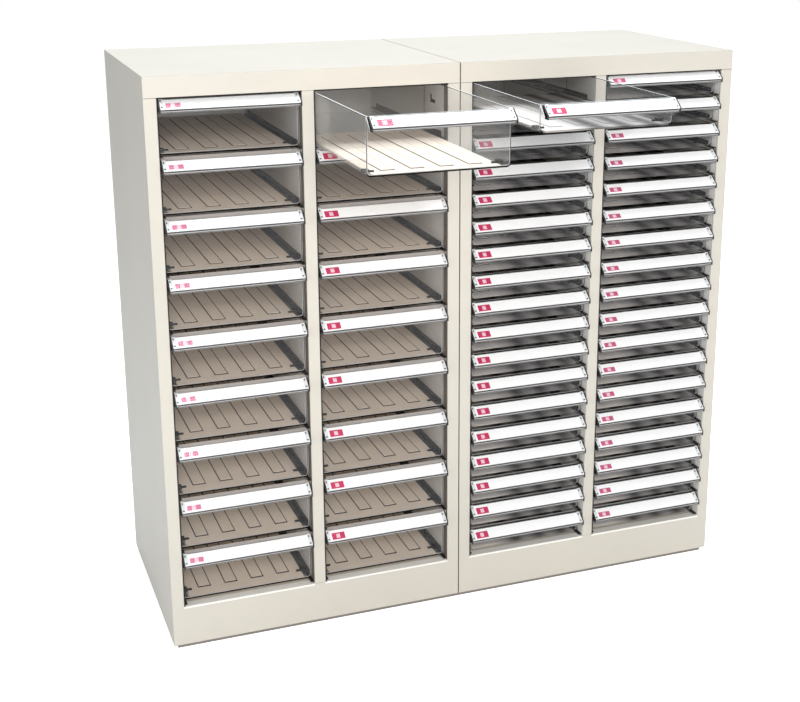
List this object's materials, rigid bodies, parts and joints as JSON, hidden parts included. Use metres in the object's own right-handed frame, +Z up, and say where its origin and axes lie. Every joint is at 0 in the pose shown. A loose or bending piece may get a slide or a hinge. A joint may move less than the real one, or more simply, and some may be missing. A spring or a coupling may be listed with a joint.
{
  "type": "document drawer cabinet bank",
  "caption": "Two sheet-steel cabinets side by side with columns of clear plastic document trays, deep ones on the left and shallow ones on the right, with label rails.",
  "frame": {"origin": "bottom centre of the bounding box of the whole bank with its two open trays, on the floor", "axes": "+X to the right along the fronts, -Y out of the fronts, +Z up"},
  "size_m": [1.082, 0.724, 1.015],
  "materials": {
    "case_paint": "satin cream powder coat",
    "clear_tray": "clear, polished, slightly smoky",
    "label_card": "plain white card, matte",
    "label_cover": "clear, polished",
    "index_tab": "plain red block, satin",
    "index_tab_pale": "plain pink block, satin",
    "runner_black": "black moulded plastic, satin"
  },
  "bodies": {
    "case": {"left_carcass": "case_paint", "left_partition": "case_paint", "left_back_panel": "case_paint", "right_carcass": "case_paint", "right_partition": "case_paint", "right_back_panel": "case_paint"},
    "left_col1_tray_01": {"left_col1_tray_01": "clear_tray"},
    "left_col1_tray_02": {"left_col1_tray_02": "clear_tray"},
    "left_col1_tray_03": {"left_col1_tray_03": "clear_tray"},
    "left_col1_tray_04": {"left_col1_tray_04": "clear_tray"},
    "left_col1_tray_05": {"left_col1_tray_05": "clear_tray"},
    "left_col1_tray_06": {"left_col1_tray_06": "clear_tray"},
    "left_col1_tray_07": {"left_col1_tray_07": "clear_tray"},
    "left_col1_tray_08": {"left_col1_tray_08": "clear_tray"},
    "left_col1_tray_09": {"left_col1_tray_09": "clear_tray"},
    "left_col2_tray_01": {"left_col2_tray_01": "clear_tray"},
    "left_col2_tray_02": {"left_col2_tray_02": "clear_tray"},
    "left_col2_tray_03": {"left_col2_tray_03": "clear_tray"},
    "left_col2_tray_04": {"left_col2_tray_04": "clear_tray"},
    "left_col2_tray_05": {"left_col2_tray_05": "clear_tray"},
    "left_col2_tray_06": {"left_col2_tray_06": "clear_tray"},
    "left_col2_tray_07": {"left_col2_tray_07": "clear_tray"},
    "left_col2_tray_08": {"left_col2_tray_08": "clear_tray"},
    "left_col2_tray_09": {"left_col2_tray_09": "clear_tray"},
    "right_col1_tray_01": {"right_col1_tray_01": "clear_tray"},
    "right_col1_tray_02": {"right_col1_tray_02": "clear_tray"},
    "right_col1_tray_03": {"right_col1_tray_03": "clear_tray"},
    "right_col1_tray_04": {"right_col1_tray_04": "clear_tray"},
    "right_col1_tray_05": {"right_col1_tray_05": "clear_tray"},
    "right_col1_tray_06": {"right_col1_tray_06": "clear_tray"},
    "right_col1_tray_07": {"right_col1_tray_07": "clear_tray"},
    "right_col1_tray_08": {"right_col1_tray_08": "clear_tray"},
    "right_col1_tray_09": {"right_col1_tray_09": "clear_tray"},
    "right_col1_tray_10": {"right_col1_tray_10": "clear_tray"},
    "right_col1_tray_11": {"right_col1_tray_11": "clear_tray"},
    "right_col1_tray_12": {"right_col1_tray_12": "clear_tray"},
    "right_col1_tray_13": {"right_col1_tray_13": "clear_tray"},
    "right_col1_tray_14": {"right_col1_tray_14": "clear_tray"},
    "right_col1_tray_15": {"right_col1_tray_15": "clear_tray"},
    "right_col1_tray_16": {"right_col1_tray_16": "clear_tray"},
    "right_col1_tray_17": {"right_col1_tray_17": "clear_tray"},
    "right_col1_tray_18": {"right_col1_tray_18": "clear_tray"},
    "right_col2_tray_01": {"right_col2_tray_01": "clear_tray"},
    "right_col2_tray_02": {"right_col2_tray_02": "clear_tray"},
    "right_col2_tray_03": {"right_col2_tray_03": "clear_tray"},
    "right_col2_tray_04": {"right_col2_tray_04": "clear_tray"},
    "right_col2_tray_05": {"right_col2_tray_05": "clear_tray"},
    "right_col2_tray_06": {"right_col2_tray_06": "clear_tray"},
    "right_col2_tray_07": {"right_col2_tray_07": "clear_tray"},
    "right_col2_tray_08": {"right_col2_tray_08": "clear_tray"},
    "right_col2_tray_09": {"right_col2_tray_09": "clear_tray"},
    "right_col2_tray_10": {"right_col2_tray_10": "clear_tray"},
    "right_col2_tray_11": {"right_col2_tray_11": "clear_tray"},
    "right_col2_tray_12": {"right_col2_tray_12": "clear_tray"},
    "right_col2_tray_13": {"right_col2_tray_13": "clear_tray"},
    "right_col2_tray_14": {"right_col2_tray_14": "clear_tray"},
    "right_col2_tray_15": {"right_col2_tray_15": "clear_tray"},
    "right_col2_tray_16": {"right_col2_tray_16": "clear_tray"},
    "right_col2_tray_17": {"right_col2_tray_17": "clear_tray"},
    "right_col2_tray_18": {"right_col2_tray_18": "clear_tray"}
  },
  "joints": [
    {"name": "left_col1_tray_01_slide", "type": "slide", "parent": "case", "child": "left_col1_tray_01", "axis": [0, -1, 0], "range_m": [0, 0.32]},
    {"name": "left_col1_tray_02_slide", "type": "slide", "parent": "case", "child": "left_col1_tray_02", "axis": [0, -1, 0], "range_m": [0, 0.32]},
    {"name": "left_col1_tray_03_slide", "type": "slide", "parent": "case", "child": "left_col1_tray_03", "axis": [0, -1, 0], "range_m": [0, 0.32]},
    {"name": "left_col1_tray_04_slide", "type": "slide", "parent": "case", "child": "left_col1_tray_04", "axis": [0, -1, 0], "range_m": [0, 0.32]},
    {"name": "left_col1_tray_05_slide", "type": "slide", "parent": "case", "child": "left_col1_tray_05", "axis": [0, -1, 0], "range_m": [0, 0.32]},
    {"name": "left_col1_tray_06_slide", "type": "slide", "parent": "case", "child": "left_col1_tray_06", "axis": [0, -1, 0], "range_m": [0, 0.32]},
    {"name": "left_col1_tray_07_slide", "type": "slide", "parent": "case", "child": "left_col1_tray_07", "axis": [0, -1, 0], "range_m": [0, 0.32]},
    {"name": "left_col1_tray_08_slide", "type": "slide", "parent": "case", "child": "left_col1_tray_08", "axis": [0, -1, 0], "range_m": [0, 0.32]},
    {"name": "left_col1_tray_09_slide", "type": "slide", "parent": "case", "child": "left_col1_tray_09", "axis": [0, -1, 0], "range_m": [0, 0.32]},
    {"name": "left_col2_tray_01_slide", "type": "slide", "parent": "case", "child": "left_col2_tray_01", "axis": [0, -1, 0], "range_m": [-0.29, 0.03]},
    {"name": "left_col2_tray_02_slide", "type": "slide", "parent": "case", "child": "left_col2_tray_02", "axis": [0, -1, 0], "range_m": [0, 0.32]},
    {"name": "left_col2_tray_03_slide", "type": "slide", "parent": "case", "child": "left_col2_tray_03", "axis": [0, -1, 0], "range_m": [0, 0.32]},
    {"name": "left_col2_tray_04_slide", "type": "slide", "parent": "case", "child": "left_col2_tray_04", "axis": [0, -1, 0], "range_m": [0, 0.32]},
    {"name": "left_col2_tray_05_slide", "type": "slide", "parent": "case", "child": "left_col2_tray_05", "axis": [0, -1, 0], "range_m": [0, 0.32]},
    {"name": "left_col2_tray_06_slide", "type": "slide", "parent": "case", "child": "left_col2_tray_06", "axis": [0, -1, 0], "range_m": [0, 0.32]},
    {"name": "left_col2_tray_07_slide", "type": "slide", "parent": "case", "child": "left_col2_tray_07", "axis": [0, -1, 0], "range_m": [0, 0.32]},
    {"name": "left_col2_tray_08_slide", "type": "slide", "parent": "case", "child": "left_col2_tray_08", "axis": [0, -1, 0], "range_m": [0, 0.32]},
    {"name": "left_col2_tray_09_slide", "type": "slide", "parent": "case", "child": "left_col2_tray_09", "axis": [0, -1, 0], "range_m": [0, 0.32]},
    {"name": "right_col1_tray_01_slide", "type": "slide", "parent": "case", "child": "right_col1_tray_01", "axis": [0, -1, 0], "range_m": [-0.29, 0.03]},
    {"name": "right_col1_tray_02_slide", "type": "slide", "parent": "case", "child": "right_col1_tray_02", "axis": [0, -1, 0], "range_m": [0, 0.32]},
    {"name": "right_col1_tray_03_slide", "type": "slide", "parent": "case", "child": "right_col1_tray_03", "axis": [0, -1, 0], "range_m": [0, 0.32]},
    {"name": "right_col1_tray_04_slide", "type": "slide", "parent": "case", "child": "right_col1_tray_04", "axis": [0, -1, 0], "range_m": [0, 0.32]},
    {"name": "right_col1_tray_05_slide", "type": "slide", "parent": "case", "child": "right_col1_tray_05", "axis": [0, -1, 0], "range_m": [0, 0.32]},
    {"name": "right_col1_tray_06_slide", "type": "slide", "parent": "case", "child": "right_col1_tray_06", "axis": [0, -1, 0], "range_m": [0, 0.32]},
    {"name": "right_col1_tray_07_slide", "type": "slide", "parent": "case", "child": "right_col1_tray_07", "axis": [0, -1, 0], "range_m": [0, 0.32]},
    {"name": "right_col1_tray_08_slide", "type": "slide", "parent": "case", "child": "right_col1_tray_08", "axis": [0, -1, 0], "range_m": [0, 0.32]},
    {"name": "right_col1_tray_09_slide", "type": "slide", "parent": "case", "child": "right_col1_tray_09", "axis": [0, -1, 0], "range_m": [0, 0.32]},
    {"name": "right_col1_tray_10_slide", "type": "slide", "parent": "case", "child": "right_col1_tray_10", "axis": [0, -1, 0], "range_m": [0, 0.32]},
    {"name": "right_col1_tray_11_slide", "type": "slide", "parent": "case", "child": "right_col1_tray_11", "axis": [0, -1, 0], "range_m": [0, 0.32]},
    {"name": "right_col1_tray_12_slide", "type": "slide", "parent": "case", "child": "right_col1_tray_12", "axis": [0, -1, 0], "range_m": [0, 0.32]},
    {"name": "right_col1_tray_13_slide", "type": "slide", "parent": "case", "child": "right_col1_tray_13", "axis": [0, -1, 0], "range_m": [0, 0.32]},
    {"name": "right_col1_tray_14_slide", "type": "slide", "parent": "case", "child": "right_col1_tray_14", "axis": [0, -1, 0], "range_m": [0, 0.32]},
    {"name": "right_col1_tray_15_slide", "type": "slide", "parent": "case", "child": "right_col1_tray_15", "axis": [0, -1, 0], "range_m": [0, 0.32]},
    {"name": "right_col1_tray_16_slide", "type": "slide", "parent": "case", "child": "right_col1_tray_16", "axis": [0, -1, 0], "range_m": [0, 0.32]},
    {"name": "right_col1_tray_17_slide", "type": "slide", "parent": "case", "child": "right_col1_tray_17", "axis": [0, -1, 0], "range_m": [0, 0.32]},
    {"name": "right_col1_tray_18_slide", "type": "slide", "parent": "case", "child": "right_col1_tray_18", "axis": [0, -1, 0], "range_m": [0, 0.32]},
    {"name": "right_col2_tray_01_slide", "type": "slide", "parent": "case", "child": "right_col2_tray_01", "axis": [0, -1, 0], "range_m": [0, 0.32]},
    {"name": "right_col2_tray_02_slide", "type": "slide", "parent": "case", "child": "right_col2_tray_02", "axis": [0, -1, 0], "range_m": [0, 0.32]},
    {"name": "right_col2_tray_03_slide", "type": "slide", "parent": "case", "child": "right_col2_tray_03", "axis": [0, -1, 0], "range_m": [0, 0.32]},
    {"name": "right_col2_tray_04_slide", "type": "slide", "parent": "case", "child": "right_col2_tray_04", "axis": [0, -1, 0], "range_m": [0, 0.32]},
    {"name": "right_col2_tray_05_slide", "type": "slide", "parent": "case", "child": "right_col2_tray_05", "axis": [0, -1, 0], "range_m": [0, 0.32]},
    {"name": "right_col2_tray_06_slide", "type": "slide", "parent": "case", "child": "right_col2_tray_06", "axis": [0, -1, 0], "range_m": [0, 0.32]},
    {"name": "right_col2_tray_07_slide", "type": "slide", "parent": "case", "child": "right_col2_tray_07", "axis": [0, -1, 0], "range_m": [0, 0.32]},
    {"name": "right_col2_tray_08_slide", "type": "slide", "parent": "case", "child": "right_col2_tray_08", "axis": [0, -1, 0], "range_m": [0, 0.32]},
    {"name": "right_col2_tray_09_slide", "type": "slide", "parent": "case", "child": "right_col2_tray_09", "axis": [0, -1, 0], "range_m": [0, 0.32]},
    {"name": "right_col2_tray_10_slide", "type": "slide", "parent": "case", "child": "right_col2_tray_10", "axis": [0, -1, 0], "range_m": [0, 0.32]},
    {"name": "right_col2_tray_11_slide", "type": "slide", "parent": "case", "child": "right_col2_tray_11", "axis": [0, -1, 0], "range_m": [0, 0.32]},
    {"name": "right_col2_tray_12_slide", "type": "slide", "parent": "case", "child": "right_col2_tray_12", "axis": [0, -1, 0], "range_m": [0, 0.32]},
    {"name": "right_col2_tray_13_slide", "type": "slide", "parent": "case", "child": "right_col2_tray_13", "axis": [0, -1, 0], "range_m": [0, 0.32]},
    {"name": "right_col2_tray_14_slide", "type": "slide", "parent": "case", "child": "right_col2_tray_14", "axis": [0, -1, 0], "range_m": [0, 0.32]},
    {"name": "right_col2_tray_15_slide", "type": "slide", "parent": "case", "child": "right_col2_tray_15", "axis": [0, -1, 0], "range_m": [0, 0.32]},
    {"name": "right_col2_tray_16_slide", "type": "slide", "parent": "case", "child": "right_col2_tray_16", "axis": [0, -1, 0], "range_m": [0, 0.32]},
    {"name": "right_col2_tray_17_slide", "type": "slide", "parent": "case", "child": "right_col2_tray_17", "axis": [0, -1, 0], "range_m": [0, 0.32]},
    {"name": "right_col2_tray_18_slide", "type": "slide", "parent": "case", "child": "right_col2_tray_18", "axis": [0, -1, 0], "range_m": [0, 0.32]}
  ]
}
